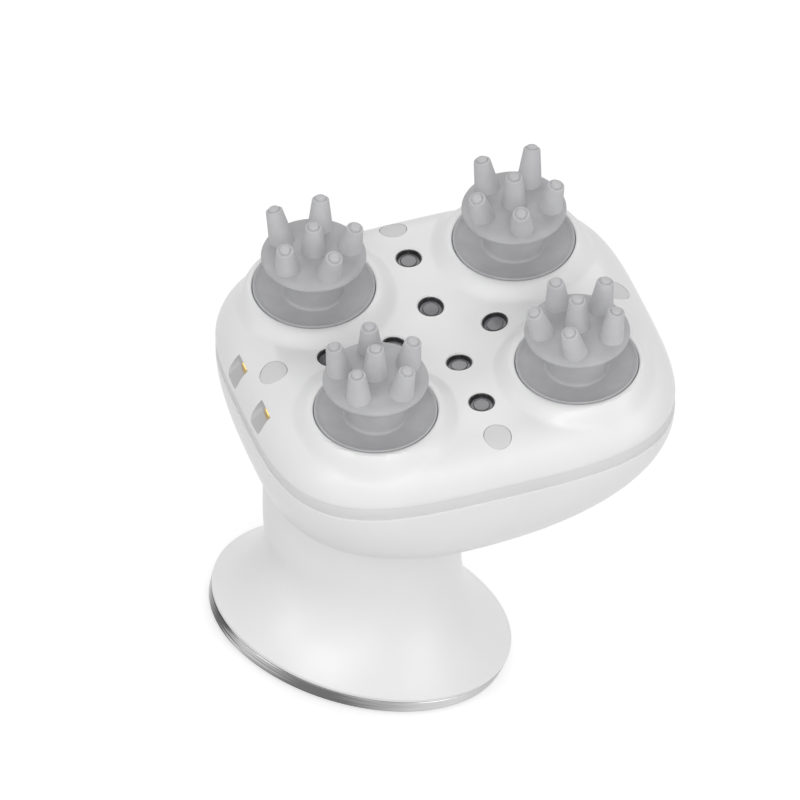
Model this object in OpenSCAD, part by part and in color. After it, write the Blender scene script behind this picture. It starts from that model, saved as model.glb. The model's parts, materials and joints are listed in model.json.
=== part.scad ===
// Hand-held electric scalp massager. Four soft massage heads stand on a rounded
// square head, which leans on a flared foot. The foot rests on the ground plane,
// the origin is the middle of its sole, +X points away from the charging
// contacts, and the model is symmetric about the XZ plane.

/* [Head housing] */
// Half length of the head at its seam
head_a = 48.85; // [48.6:0.05:50]
// Half width of the head at its seam
head_b = 43.3; // [43.1:0.05:44.5]
// Squareness of the head's outline, 2 is an ellipse
head_n = 3.33; // [3.1:0.01:3.6]
// Lean of the head over the foot, in degrees
tilt = 18.7; // [16:0.1:20]
// Height of the head's centre above the sole
head_height = 91.2; // [88:0.1:93]
// Offset of the head's centre from the foot's centre
head_shift = -8.1; // [-10:0.1:-7]
// Wall of the moulded shells
wall = 2.2; // [2:0.1:2.3]

/* [Massage heads] */
// Half distance between the massage heads along X
pitch_a = 24.15; // [24.15]
// Half distance between the massage heads along Y
pitch_b = 21.6; // [21.6]
// Radius of the soft disc round each massage head
disc_r = 14; // [13.5:0.1:14]
// Radius of the cap that carries the fingers
cap_r = 12.1; // [11.5:0.1:12.5]
// Length of one finger without its tip
finger_len = 7.2; // [6:0.1:8]
// Radius of the circle on which the outer fingers stand
finger_circle = 8.3; // [8:0.1:8.6]
// Outward lean of the outer fingers, in degrees
finger_lean = 14; // [8:1:15]

/* [Foot] */
// Half length of the foot
foot_a = 36.5; // [35:0.1:37.5]
// Half width of the foot
foot_b = 30.6; // [29.5:0.1:31.5]
// Half length of the neck
neck_a = 23.2; // [22.8:0.1:23.4]
// Half width of the neck
neck_b = 20.8; // [20.5:0.1:21.5]
// Height of the metal ring round the foot
ring_h = 3.3; // [2.5:0.1:3.5]
// Travel of the power button
button_travel = 0.6; // [0.3:0.1:0.6]

/* [Gears] */
// Module of the output gears
out_module = 0.8; // [0.8]
// Module of the motor pinion and its wheel
in_module = 0.6; // [0.6]
// Play between the flanks of meshing teeth
backlash = 0.14; // [0.1:0.01:0.2]

/* [Hidden] */
$fn = 48;
eps = 0.01;

// Colours
shell_white = "#f4f4f5";
band_grey = "#dcdcdd";
silicone_grey = "#b4b4b5";
ring_silver = "#c3c5c8";
lens_dark = "#4d4e51";
board_green = "#2f6b46";
steel = "#a9adb2";
gold = "#d9b65c";
gear_white = "#e9e6dc";

// Heights in the head's own frame, whose zero is the rim of the soft discs
top_z = -2.2;
seam_top = -12.2;
seam_low = -16.0;
bowl_depth = 24.4;
neck_seam = -44;
clamp_low = -40;
well_floor = -5.2;
well_under = -7.0;
plate_top = -7.6;
plate_low = -9.6;
out_top = -10.2;
out_low = -15.2;
wheel_top = -15.8;
wheel_low = -19.8;
tray_low = -17.4;
well_low = -22;
motor_top = well_low;
box_low = -40;
motor_low = -64;

// Plan positions
head_spots = [[-pitch_a, pitch_b], [pitch_a, pitch_b], [pitch_a, -pitch_b],
              [-pitch_a, -pitch_b]];
finger_start = [64, 46.4, 31.5, 7];
led_a = [12, 28.8];
led_b = [9.8, 25.2];
led_spots = concat([for (s = [-1, 1]) for (d = led_a) [s * d, 0]],
                   [for (s = [-1, 1]) for (d = led_b) [0, s * d]]);
led_r = 3;
led_low = -5.3;
screw_spots = [[-41.2, 0], [41.2, 0], [0, -36.1], [0, 36.1]];
screw_r = 1.5;
plug_r = 3.2;
contact_y = 8;
neck_x = -19.8;
button_x = 18;
button_r = 5.2;

// Shape of the cover's dish and of the bowl under the seam
dish_deep = 1.6;
dish_flat = 7;
dish_r = 21;
left_slope = 0.27;

// Fits
spindle_r = 2;
run_gap = 0.05;
disc_gap = 0.3;

// Foot heights in the object's frame
sole_h = 0.5;
ring_top = sole_h + ring_h;
cap_top = 3.2;
waist_drop = 59;
waist_x = head_shift + neck_x * cos(tilt) + waist_drop * sin(tilt);
waist_z = head_height + neck_x * sin(tilt) - waist_drop * cos(tilt);

ring_sides = 56;

function sgn_pow(v, p) = sign(v) * pow(abs(v), p);

// One closed outline: a superellipse between xl and xr with half width b
function outline(xl, xr, b, n, sides = ring_sides) =
    [for (i = [0:sides - 1]) let (t = 360 * (i + 0.5) / sides)
        [(xl + xr) / 2 + (xr - xl) / 2 * sgn_pow(cos(t), 2 / n),
         b * sgn_pow(sin(t), 2 / n)]];

// The same outline lifted to height z and turned about Y by lean degrees
function section(xl, xr, b, n, z, lean = 0, at = [0, 0]) =
    [for (p = outline(xl, xr, b, n))
        [at[0] + p[0] * cos(lean), p[1], at[1] + z + p[0] * sin(lean)]];

// A closed skin through sections that are stacked from low to high
module loft(rows) {
    count = len(rows);
    sides = len(rows[0]);
    points = [for (row = rows) each row];
    walls = [for (k = [0:count - 2]) for (i = [0:sides - 1])
        let (j = (i + 1) % sides, low = k * sides, high = low + sides)
        each [[low + i, high + i, high + j], [low + i, high + j, low + j]]];
    floor_face = [for (i = [0:sides - 1]) i];
    roof_face = [for (i = [sides - 1:-1:0]) (count - 1) * sides + i];
    polyhedron(points, concat(walls, [floor_face, roof_face]));
}

module in_head() {
    translate([head_shift, 0, head_height]) rotate([0, -tilt, 0]) children();
}

module at_spot(n) {
    in_head() translate([head_spots[n - 1][0], head_spots[n - 1][1], 0]) children();
}

module tube(r_out, r_in, low, high) {
    translate([0, 0, low]) difference() {
        cylinder(r = r_out, h = high - low);
        translate([0, 0, -1]) cylinder(r = r_in, h = high - low + 2);
    }
}

module rod(r, low, high) {
    translate([0, 0, low]) cylinder(r = r, h = high - low);
}

module oval_slab(a, b, low, high, n = 2) {
    translate([0, 0, low]) linear_extrude(high - low) polygon(outline(-a, a, b, n));
}

// ---- Shell shapes, all in the head's frame unless said otherwise ----

// Dome of the cover: flat on top, rounding over at the rim. An inset one starts lower.
function dome_rows(inset, low) =
    let (a = head_a - inset, b = head_b - inset, rise = top_z - inset - seam_top)
    concat(inset > 0 ? [section(-a, a, b, head_n, low)] : [],
           [for (u = [90, 81, 72, 63, 54, 45, 36, 27, 18, 10, 3])
               let (f = pow(sin(u), 1 / 6))
               section(-a * f, a * f, b * f, head_n, seam_top + rise * pow(cos(u), 4 / 3))]);

// Depth of the shallow dish between the massage heads, r from its middle
function dish_depth(r) =
    r < dish_flat ? dish_deep : r > dish_r ? 0 :
    dish_deep * (1 + cos(180 * (r - dish_flat) / (dish_r - dish_flat))) / 2;

module dish() {
    rotate_extrude($fn = 64)
        polygon(concat([[0, 1], [0, top_z - dish_deep]],
            [for (k = [0:7]) let (r = dish_flat + (dish_r - dish_flat) * k / 7)
                [r, top_z - dish_depth(r)]],
            [[dish_r, 1]]));
}

module dome(inset = 0) {
    loft(dome_rows(inset, seam_top - 1));
}

// Rounded shoulder that swells round one soft disc
module collar() {
    swell = 3.9;
    fall = 10;
    lip_z = -0.25;
    rotate_extrude($fn = 72)
        polygon(concat([[0, -fall], [0, lip_z]],
            [for (k = [0:6]) let (t = k / 6)
                [disc_r + 0.9 + swell * pow(t, 0.8), lip_z - (fall + lip_z) * pow(t, 1.5)]]));
}

// Bowl under the seam, from its bottom up
function bowl_half(u, inset) =
    let (w = 1 - cos(u), z = seam_low - (bowl_depth - inset) * sin(u),
         xl = min(-head_a + left_slope * (seam_low - z), neck_x - neck_a),
         xr = head_a - 30.4 * w - 21.5 * pow(w, 1.78),
         b = head_b - 15.7 * w)
    section(xl + inset, xr - inset, b - inset, head_n - 1.08 * w, z);

function bowl_rows(inset) =
    [for (u = [80, 72, 62, 52, 42, 32, 22, 12, 4]) bowl_half(u, inset)];

// Neck stub that fillets into the bowl's underside
function stub_rows(inset) =
    let (mid = neck_x, low = neck_seam, high = seam_low - bowl_depth * sin(80))
    [for (k = [0:5])
        let (t = k / 5, grow = 1 - sqrt(1 - t * t * 0.98))
        section(mid - neck_a + inset, mid + neck_a - inset + 5.5 * grow,
                neck_b - inset + 6 * grow, 2 + 0.2 * grow,
                low + (high - low) * sin(90 * t))];

module top_cover() {
    color(shell_white) in_head() difference() {
        union() {
            difference() {
                union() {
                    dome();
                    for (p = head_spots)
                        translate([p[0], p[1], 0]) collar();
                }
                dome(wall);
            }
            rod(dish_r - 2, led_low, top_z - 1);
            for (p = head_spots)
                translate([p[0], p[1], 0]) {
                    tube(disc_r + disc_gap + 1.4, disc_r + disc_gap, well_under, -1.5);
                    rod(disc_r + disc_gap + 1.4, well_under, well_floor);
                }
            intersection() {
                dome();
                for (p = screw_spots)
                    translate([p[0], p[1], 0]) rod(plug_r + 1.3, plate_top + 0.1, 0);
            }
            intersection() {
                dome();
                translate([-head_a, -contact_y - 4.5, seam_top])
                    cube([head_a - 45.5, 2 * contact_y + 9, 9]);
            }
        }
        dish();
        for (p = head_spots)
            translate([p[0], p[1], 0]) {
                rod(disc_r + disc_gap, well_floor, 5);
                rod(4.5, well_under - 1, 0);
            }
        for (p = led_spots)
            translate([p[0], p[1], 0]) rod(led_r, -9, 0);
        for (p = screw_spots)
            translate([p[0], p[1], 0]) {
                rod(plug_r, -5.6, 0);
                rod(screw_r + 0.1, -12, 0);
            }
        for (s = [-1, 1])
            translate([-60, s * contact_y - 3, -10]) cube([14, 6, 8]);
    }
}

module seam_gasket() {
    color(band_grey) in_head() difference() {
        oval_slab(head_a - 0.25, head_b - 0.25, seam_low, seam_top, head_n);
        oval_slab(head_a - wall, head_b - wall, seam_low - 1, seam_top + 1, head_n);
    }
}

module lower_housing() {
    top_half = bowl_half(0, 0);
    color(shell_white) in_head() difference() {
        union() {
            difference() {
                loft(concat(stub_rows(0), bowl_rows(0), [top_half]));
                loft(concat([[for (p = stub_rows(wall)[0]) p - [0, 0, 1]]],
                            stub_rows(wall), bowl_rows(wall),
                            [[for (p = bowl_half(0, wall)) p + [0, 0, 1]]]));
            }
            intersection() {
                loft(concat(stub_rows(0.4), bowl_rows(0.4), [bowl_half(0, 0.4)]));
                for (p = screw_spots)
                    translate([p[0], p[1], 0]) rod(3.6, -33, tray_low);
            }
        }
        for (p = screw_spots)
            translate([p[0], p[1], 0]) rod(screw_r, -26, 0);
    }
}

// Neck and flared foot, from the rim of the foot up to the neck's seam
function handle_half(t, inset) =
    let (flare = pow(1 - t, 2.3),
         a = neck_a + (foot_a - neck_a) * flare - inset,
         b = neck_b + (foot_b - neck_b) * flare - inset,
         z = ring_top + 0.9 + (waist_z - ring_top - 0.9) * t,
         x = waist_x * t)
    section(-a, a, b, 2, z, 0, [x, 0]);

function neck_half(t, inset) =
    let (seam_at = [head_shift + neck_x * cos(tilt) - neck_seam * sin(tilt),
                                      head_height + neck_x * sin(tilt) + neck_seam * cos(tilt)])
    section(-neck_a + inset, neck_a - inset, neck_b - inset, 2, 0, tilt * t,
            [waist_x + (seam_at[0] - waist_x) * t, waist_z + (seam_at[1] - waist_z) * t]);

function handle_rows(inset) =
    concat([for (k = [0:9]) handle_half(k / 10, inset)],
           [for (k = [0:4]) neck_half(k / 4, inset)]);

module handle_outer() {
    lip = [section(-foot_a + 0.5, foot_a - 0.5, foot_b - 0.5, 2, ring_top),
           section(-foot_a, foot_a, foot_b, 2, ring_top + 0.45)];
    loft(concat(lip, handle_rows(0)));
}

module handle_inner() {
    open_low = [section(-foot_a + 2.6, foot_a - 2.6, foot_b - 2.6, 2, ring_top - 1)];
    top_row = neck_half(1, wall);
    push = [-sin(tilt), 0, cos(tilt)];
    loft(concat(open_low, handle_rows(wall), [[for (p = top_row) p + push]]));
}

module handle_shell() {
    color(shell_white) difference() {
        union() {
            difference() {
                handle_outer();
                handle_inner();
            }
            // Spigot that enters the head, with bosses for the clamp screws
            in_head() translate([neck_x, 0, 0]) difference() {
                oval_slab(neck_a - wall - 0.1, neck_b - wall - 0.1, -54, clamp_low - 0.3);
                oval_slab(neck_a - wall - 1.8, neck_b - wall - 1.8, -55, -38);
            }
            in_head() for (p = neck_screw_spots)
                translate([p[0], p[1], 0]) rod(2.6, -52, clamp_low);
            intersection() {
                handle_outer();
                for (p = cap_spots)
                    translate([p[0], p[1], 0]) rod(3.2, ring_top, 14);
            }
        }
        in_head() for (p = neck_screw_spots)
            translate([p[0], p[1], 0]) rod(1.2, -47, -30);
        for (p = cap_spots)
            translate([p[0], p[1], 0]) rod(1.3, 0, 8);
    }
}

neck_screw_spots = [for (k = [0:3]) let (t = 45 + 90 * k)
    [neck_x + 15.1 * cos(t), 15.1 * sin(t)]];
cap_spots = [for (sx = [-1, 1]) for (sy = [-1, 1]) [sx * 21, sy * 14]];

module base_ring() {
    taper = 0.25;
    corner = 0.8;
    lip = [for (k = [0:3]) let (t = 30 * k, in = taper + corner * (1 - sin(t)))
        section(-foot_a + in, foot_a - in, foot_b - in, 2,
                sole_h + corner * (1 - cos(t)))];
    high = [section(-foot_a + 0.05, foot_a - 0.05, foot_b - 0.05, 2, ring_top - 0.3),
            section(-foot_a + 0.35, foot_a - 0.35, foot_b - 0.35, 2, ring_top)];
    color(ring_silver) difference() {
        loft(concat(lip, high));
        oval_slab(foot_a - 2.2, foot_b - 2.2, 0, ring_top + 1);
    }
}

module base_cap() {
    cap_in = 2.3;
    color(shell_white) difference() {
        union() {
            oval_slab(foot_a - cap_in, foot_b - cap_in, sole_h, cap_top);
            for (p = cap_spots)
                translate([p[0], p[1], 0]) rod(3.2, cap_top - 1, ring_top);
            for (p = board_spots)
                translate([p[0], p[1], 0]) rod(2, cap_top - 1, 7);
        }
        oval_slab(foot_a - 4, foot_b - 4, -1, 1.2);
        translate([button_x, 0, 0]) rod(button_r + 0.25, -1, cap_top + 1);
        for (p = cap_spots)
            translate([p[0], p[1], 0]) {
                rod(1.6, -1, ring_top + 1);
                rod(2.8, -1, 2.4);
            }
        for (p = board_spots)
            translate([p[0], p[1], 0]) rod(0.9, 4, 8);
    }
}

board_spots = [[9.5, -6], [9.5, 6]];

module sole_pad() {
    color(silicone_grey) difference() {
        oval_slab(foot_a - 4.1, foot_b - 4.1, 0, 1.2);
        translate([button_x, 0, 0]) rod(button_r + 0.6, -1, 2);
    }
}

module led_windows() {
    color(lens_dark) in_head() for (p = led_spots) {
        high = top_z - dish_depth(norm(p)) - 0.1;
        translate([p[0], p[1], 0]) rotate_extrude()
            polygon([[0, led_low], [led_r, led_low], [led_r, high - 0.08], [led_r - 0.35, high],
                     [1.75, high - 0.8], [1.75, high - 1], [0, high - 1]]);
    }
}

module screw_plugs() {
    color(shell_white) in_head() intersection() {
        dome();
        for (p = screw_spots)
            translate([p[0], p[1], 0]) rod(plug_r - 0.06, -5, 0);
    }
}

module cover_screws() {
    color(steel) in_head() for (p = screw_spots)
        translate([p[0], p[1], 0]) difference() {
            union() {
                rod(2.7, -5.6, -5.0 - eps);
                rod(screw_r, -25, -5.2);
            }
            translate([-1.6, -0.4, -5.4]) cube([3.2, 0.8, 2]);
            translate([-0.4, -1.6, -5.4]) cube([0.8, 3.2, 2]);
        }
}

module charge_contacts() {
    color(gold) in_head() for (s = [-1, 1])
        translate([-46.35, s * contact_y - 2.7, -9.7]) cube([0.35, 5.4, 3.6]);
}

module led_board() {
    arm = 9;
    color(board_green) in_head() difference() {
        translate([0, 0, plate_top]) linear_extrude(1.2) {
            square([66, arm], center = true);
            square([arm, 60], center = true);
        }
        rod(2.2, -9, 0);
    }
}

module light_diodes() {
    color("#f3efd8") in_head() for (p = led_spots)
        translate([p[0] - 1.2, p[1] - 1.2, plate_top + 1.2]) cube([2.4, 2.4, 0.9]);
}

module gear_plate() {
    color("#d5d6d8") in_head() difference() {
        oval_slab(head_a - 4.95, head_b - 4.7, plate_low, plate_top, head_n);
        for (p = head_spots)
            translate([p[0], p[1], 0]) rod(4, -12, 0);
        for (p = screw_spots)
            translate([p[0], p[1], 0]) rod(screw_r + 0.1, -12, 0);
        rod(spindle_r, -12, 0);
    }
}

module gear_case() {
    color("#d5d6d8") in_head() difference() {
        union() {
            difference() {
                union() {
                    oval_slab(45.3, 39.8, tray_low, -11, 3.7);
                    oval_slab(44.8, 39.3, -11, plate_low, 3.7);
                }
                oval_slab(44, 38.5, -15.8, plate_low + 1, 3.7);
            }
            for (p = screw_spots)
                translate([p[0], p[1], 0]) rod(3.6, tray_low, plate_low);
            for (p = head_spots)
                translate([p[0], p[1], 0]) rod(5.6, -20.6, -15.8);
            rod(20, well_low, -15.8);
            translate([neck_x, 0, 0]) {
                rod(12, well_low, -20.4);
                rod(6.6, well_low, -15.8);
            }
        }
        rod(18.6, -20.4, 0);
        translate([neck_x, 0, 0]) {
            rod(4.4, -20.4, -10);
            rod(3, -30, -10);
            for (s = [-1, 1])
                translate([0, s * 8.5, 0]) {
                    rod(1.1, -30, -19);
                    rod(2.1, -20.4, -18);
                }
        }
        for (p = screw_spots)
            translate([p[0], p[1], 0]) rod(screw_r + 0.1, -30, 0);
        for (p = head_spots)
            translate([p[0], p[1], 0]) rod(4, -20.2, 0);
        rod(spindle_r, -30, 0);
    }
}

module sun_pin() {
    color(steel) in_head() rod(spindle_r, well_low, plate_top);
}

module lower_bushes() {
    color("#b08a4c") for (n = [1:4])
        at_spot(n) tube(4, spindle_r + run_gap, -20.2, -15.8);
}

module upper_bushes() {
    color("#b08a4c") for (n = [1:4])
        at_spot(n) {
            tube(4, spindle_r + run_gap, plate_low, plate_top);
            tube(4.8, spindle_r + run_gap, plate_low - 0.3, plate_low);
        }
}

module lip_seals() {
    color("#2b2b2d") for (n = [1:4])
        at_spot(n) tube(4.5, spindle_r + run_gap, well_under, well_floor);
}

module gearbox() {
    color(steel) in_head() translate([neck_x, 0, 0]) difference() {
        union() {
            rod(12, box_low, motor_top);
            rod(3, motor_top - 1, motor_top + 1.4);
        }
        rod(1.5 + run_gap, box_low + 6, 0);
        for (s = [-1, 1])
            translate([0, s * 8.5, 0]) rod(1, motor_top - 5, 0);
    }
}

module motor_can() {
    color("#b9bcc0") in_head() translate([neck_x, 0, 0]) {
        rod(12, motor_low, box_low);
        rod(4, motor_low - 2, motor_low);
        for (s = [-1, 1])
            translate([s * 7 - 0.3, -1.2, motor_low - 3]) cube([0.6, 2.4, 3]);
    }
}

module motor_screws() {
    color(steel) in_head() for (s = [-1, 1])
        translate([neck_x, s * 8.5, 0]) {
            rod(1, -26, -20.4);
            rod(1.9, -20.4, -19.2);
        }
}

module battery() {
    color("#3d6fb0") in_head() translate([-2, -14, well_low - 8]) cube([37, 28, 8]);
}

module main_board() {
    color(board_green) in_head() {
        translate([-2, -13, -31.2]) cube([30, 26, 1.2]);
        translate([8, -5, -32.2]) cube([7, 7, 1]);
        translate([19, 3, -32.4]) cube([5, 4, 1.2]);
    }
}

module neck_clamp() {
    color("#d5d6d8") in_head() difference() {
        translate([0, 0, clamp_low]) linear_extrude(1.6)
            polygon(outline(neck_x - 20.5, neck_x + 22.6, 21.6, 2));
        translate([neck_x, 0, 0]) rod(12.4, -45, -30);
        for (p = neck_screw_spots)
            translate([p[0], p[1], 0]) rod(1.3, -45, -30);
    }
}

module neck_screws() {
    color(steel) in_head() for (p = neck_screw_spots)
        translate([p[0], p[1], 0]) {
            rod(1.2, -46, clamp_low + 1.6);
            rod(2.2, clamp_low + 1.6, clamp_low + 2.8);
        }
}

module switch_board() {
    color(board_green) difference() {
        translate([7, -9, 7]) cube([20, 18, 1.2]);
        for (p = board_spots)
            translate([p[0], p[1], 0]) rod(1, 5, 10);
    }
}

module tact_switch() {
    color("#333436") translate([button_x, 0, 0]) {
        translate([-3, -3, 5.2]) cube([6, 6, 1.8]);
        rod(1.7, 4.95, 5.3);
    }
}

module cap_screws() {
    color(steel) for (p = cap_spots)
        translate([p[0], p[1], 0]) {
            rod(1.3, 1.6, 7.5);
            rod(2.5, 1.3, 2.4);
        }
}

module power_button() {
    color(band_grey) translate([button_x, 0, 0]) {
        rod(button_r, 0.7, 3.4);
        rod(button_r + 0.9, 3.4, 3.9);
        rod(1.5, 3.9, 4.95 - button_travel - 0.05);
    }
}

// ---- Gears ----

function involute(r_base, r) =
    let (a = acos(min(1, r_base / r))) tan(a) * 180 / PI - a;

// Outline of one spur gear. shift moves the teeth out, phase turns them, and
// teeth that are moved out lose a little of their tip, which would be a point.
function gear_outline(m, teeth, shift, phase) =
    let (r_pitch = m * teeth / 2, r_base = r_pitch * cos(20),
         tip_cut = shift > 0 ? 0.1 : 0,
         r_tip = r_pitch + m * (1 + shift) - tip_cut, r_root = r_pitch - m * (1.25 - shift),
         thick = PI * m / 2 + 2 * shift * m * tan(20) - backlash,
         half = thick / 2 / r_pitch * 180 / PI + involute(r_base, r_pitch),
         r_low = max(r_base, r_root + 0.02), steps = 3,
         flank = [for (k = [0:steps]) let (r = r_low + (r_tip - r_low) * k / steps)
                  [r, half - involute(r_base, r)]])
    [for (t = [0:teeth - 1]) let (mid = phase + 360 * t / teeth)
        each concat([let (a = mid - flank[0][1] - 0.2) r_root * [cos(a), sin(a)]],
            [for (q = flank) let (a = mid - q[1]) q[0] * [cos(a), sin(a)]],
            [for (k = [steps:-1:0]) let (q = flank[k], a = mid + q[1])
                q[0] * [cos(a), sin(a)]],
            [let (a = mid + flank[0][1] + 0.2) r_root * [cos(a), sin(a)]])];

sun_teeth = 45;
out_teeth = 36;
wheel_teeth = 56;
pinion_teeth = 10;
pinion_shift = 0.4;
sun_phase = 0;
// A tooth of the driven gear meets a gap of the driving gear on the line of centres
function mesh_phase(bearing, teeth_a, phase_a, teeth_b) =
    bearing + 180 - (phase_a - bearing) * teeth_a / teeth_b - 180 / teeth_b;

module sun_gear() {
    color(gear_white) in_head() difference() {
        union() {
            translate([0, 0, out_low]) linear_extrude(out_top - out_low)
                polygon(gear_outline(out_module, sun_teeth, 0, sun_phase));
            rod(16, wheel_top - eps, out_low + eps);
            translate([0, 0, wheel_low]) linear_extrude(wheel_top - wheel_low)
                polygon(gear_outline(in_module, wheel_teeth, -pinion_shift, 0));
        }
        rod(spindle_r + run_gap, -30, 0);
        for (k = [0:5])
            rotate([0, 0, 60 * k]) translate([10.5, 0, 0]) rod(3.4, -30, 0);
    }
}

module motor_pinion() {
    phase = mesh_phase(180, wheel_teeth, 0, pinion_teeth);
    color(steel) in_head() translate([neck_x, 0, 0]) {
        translate([0, 0, wheel_low]) linear_extrude(wheel_top - 0.4 - wheel_low)
            polygon(gear_outline(in_module, pinion_teeth, pinion_shift, phase));
        rod(1.5, box_low + 7, wheel_low + 0.5);
    }
}

module output_gear(n) {
    spot = head_spots[n - 1];
    bearing = atan2(spot[1], spot[0]);
    phase = mesh_phase(bearing, sun_teeth, sun_phase, out_teeth);
    color(gear_white) at_spot(n) difference() {
        translate([0, 0, out_low]) linear_extrude(out_top - out_low)
            polygon(gear_outline(out_module, out_teeth, 0, phase));
        rod(spindle_r, -30, 0);
        for (k = [0:4])
            rotate([0, 0, 72 * k + finger_start[n - 1]]) translate([8.3, 0, 0])
                rod(2.8, -30, 0);
    }
}

// ---- Massage heads ----

module spindle(n) {
    color(steel) at_spot(n) rod(spindle_r, -20, 5.5);
}

module head_core(n) {
    color("#e4e4e2") at_spot(n) difference() {
        union() {
            rod(4.5, -4.8, 7.5);
            rod(11, -4.8, -3.8);
        }
        rod(spindle_r, -10, 5.5);
    }
}

// One finger: a tapering peg with a small round tip, standing on z = 0
module finger() {
    base_r = 2.8;
    end_r = 1.85;
    tip_r = 1.3;
    rotate_extrude($fn = 32)
        polygon(concat([[0, 0], [base_r + 0.1, 0], [base_r, 0.8], [end_r + 0.15, finger_len - 0.35],
                        [end_r - 0.25, finger_len], [tip_r, finger_len]],
            [for (k = [0:4]) let (t = 90 * k / 4)
                [tip_r * cos(t), finger_len + 0.25 + 0.75 * sin(t)]]));
}

module massage_pad(n) {
    color(silicone_grey) at_spot(n) rotate([0, 0, finger_start[n - 1]]) difference() {
        union() {
            rotate_extrude($fn = 72)
                polygon([[0, -3.8], [disc_r - 0.3, -3.8], [disc_r, -3.4], [disc_r, -0.15],
                         [disc_r - 0.2, 0], [disc_r - 0.55, -0.1], [disc_r - 1.6, -0.75],
                         [disc_r - 4, -1.75], [disc_r - 6.4, -2.4], [6.3, -2.45],
                         [5.9, -2.1], [6.3, 0], [6.9, 3.5], [7.4, 6.6], [8.4, 7.4],
                         [cap_r - 0.6, 9], [cap_r, 9.4], [cap_r - 0.1, 9.8],
                         [cap_r - 0.8, 10.1], [7.5, 10.8], [4, 11.1], [0, 11.2]]);
            translate([0, 0, 10.7]) finger();
            for (k = [0:4])
                rotate([0, 0, 72 * k]) translate([finger_circle, 0, 10.2])
                    rotate([0, finger_lean, 0]) finger();
        }
        rod(4.5, -5, 7.5);
        rod(spindle_r + 0.1, -5, 6);
    }
}

top_cover();
seam_gasket();
lower_housing();
handle_shell();
base_ring();
base_cap();
sole_pad();
led_windows();
screw_plugs();
cover_screws();
charge_contacts();
led_board();
light_diodes();
gear_case();
gear_plate();
sun_pin();
lower_bushes();
upper_bushes();
lip_seals();
gearbox();
motor_can();
motor_screws();
battery();
main_board();
neck_clamp();
neck_screws();
switch_board();
tact_switch();
cap_screws();
power_button();
motor_pinion();
sun_gear();
spindle(1);  // spindle_1
spindle(2);  // spindle_2
spindle(3);  // spindle_3
spindle(4);  // spindle_4
output_gear(1);  // output_gear_1
output_gear(2);  // output_gear_2
output_gear(3);  // output_gear_3
output_gear(4);  // output_gear_4
head_core(1);  // head_core_1
head_core(2);  // head_core_2
head_core(3);  // head_core_3
head_core(4);  // head_core_4
massage_pad(1);  // massage_pad_1
massage_pad(2);  // massage_pad_2
massage_pad(3);  // massage_pad_3
massage_pad(4);  // massage_pad_4
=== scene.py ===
import bpy
import bmesh
import json
import math
from bisect import bisect
from mathutils import Matrix, Vector


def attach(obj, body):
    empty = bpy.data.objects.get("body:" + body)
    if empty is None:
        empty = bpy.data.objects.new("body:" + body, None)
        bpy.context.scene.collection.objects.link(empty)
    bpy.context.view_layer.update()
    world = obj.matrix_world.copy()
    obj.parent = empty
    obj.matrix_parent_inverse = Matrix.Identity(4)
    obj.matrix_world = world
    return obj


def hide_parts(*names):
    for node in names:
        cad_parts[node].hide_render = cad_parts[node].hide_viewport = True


# Electric scalp massager standing on its foot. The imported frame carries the
# mechanism, and the pieces here give the visible mouldings their finished shape.

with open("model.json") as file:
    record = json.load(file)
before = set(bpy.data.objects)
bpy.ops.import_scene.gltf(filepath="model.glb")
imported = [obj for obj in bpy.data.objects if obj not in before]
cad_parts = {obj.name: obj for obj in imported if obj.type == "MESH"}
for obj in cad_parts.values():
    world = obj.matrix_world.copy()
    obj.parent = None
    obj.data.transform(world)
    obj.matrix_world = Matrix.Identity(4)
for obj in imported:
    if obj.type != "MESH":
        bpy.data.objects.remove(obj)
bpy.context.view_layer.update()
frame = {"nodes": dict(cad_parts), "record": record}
print("frame loaded:", len(frame["nodes"]), "nodes")

# Where the leaning head sits over the foot, in millimetres and degrees
headPlace = {"shift": -8.1, "height": 91.2, "tilt": 18.7}
tilt = math.radians(headPlace["tilt"])
footFrame = Matrix.Scale(0.001, 4)  # shapes are drawn in millimetres
headFrame = (Matrix.Translation((headPlace["shift"] / 1000, 0, headPlace["height"] / 1000))
             @ Matrix.Rotation(-tilt, 4, "Y") @ footFrame)
discSpots = [(-24.15, 21.6), (24.15, 21.6), (24.15, -21.6), (-24.15, -21.6)]


def addNode(tree, kind, inputs=None, **settings):
    node = tree.nodes.new(kind)
    for name, value in settings.items():
        setattr(node, name, value)
    for socket, value in (inputs or {}).items():
        if isinstance(value, bpy.types.NodeSocket):
            tree.links.new(value, node.inputs[socket])
        else:
            node.inputs[socket].default_value = value
    return node


def linear(code):
    parts = [int(code[i:i + 2], 16) / 255 for i in (1, 3, 5)]
    return tuple(c / 12.92 if c <= 0.04045 else ((c + 0.055) / 1.055) ** 2.4
                 for c in parts) + (1.0,)


def mix(a, b, t):
    return a + (b - a) * t


def ease(t):
    t = min(1.0, max(0.0, t))
    return t * t * (3 - 2 * t)


def filleted(corners, steps=5):
    # corners are (r, z, radius of the rounding there)
    line = []
    for k, (r, z, rounding) in enumerate(corners):
        here = Vector((r, z))
        if rounding == 0 or k in (0, len(corners) - 1):
            line.append(here)
            continue
        before = Vector(corners[k - 1][:2]) - here
        after = Vector(corners[k + 1][:2]) - here
        reach = min(rounding, before.length * 0.49, after.length * 0.49)
        start = here + before.normalized() * reach
        end = here + after.normalized() * reach
        for i in range(steps + 1):
            t = i / steps
            line.append((1 - t) ** 2 * start + 2 * t * (1 - t) * here + t * t * end)
    return line


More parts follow.
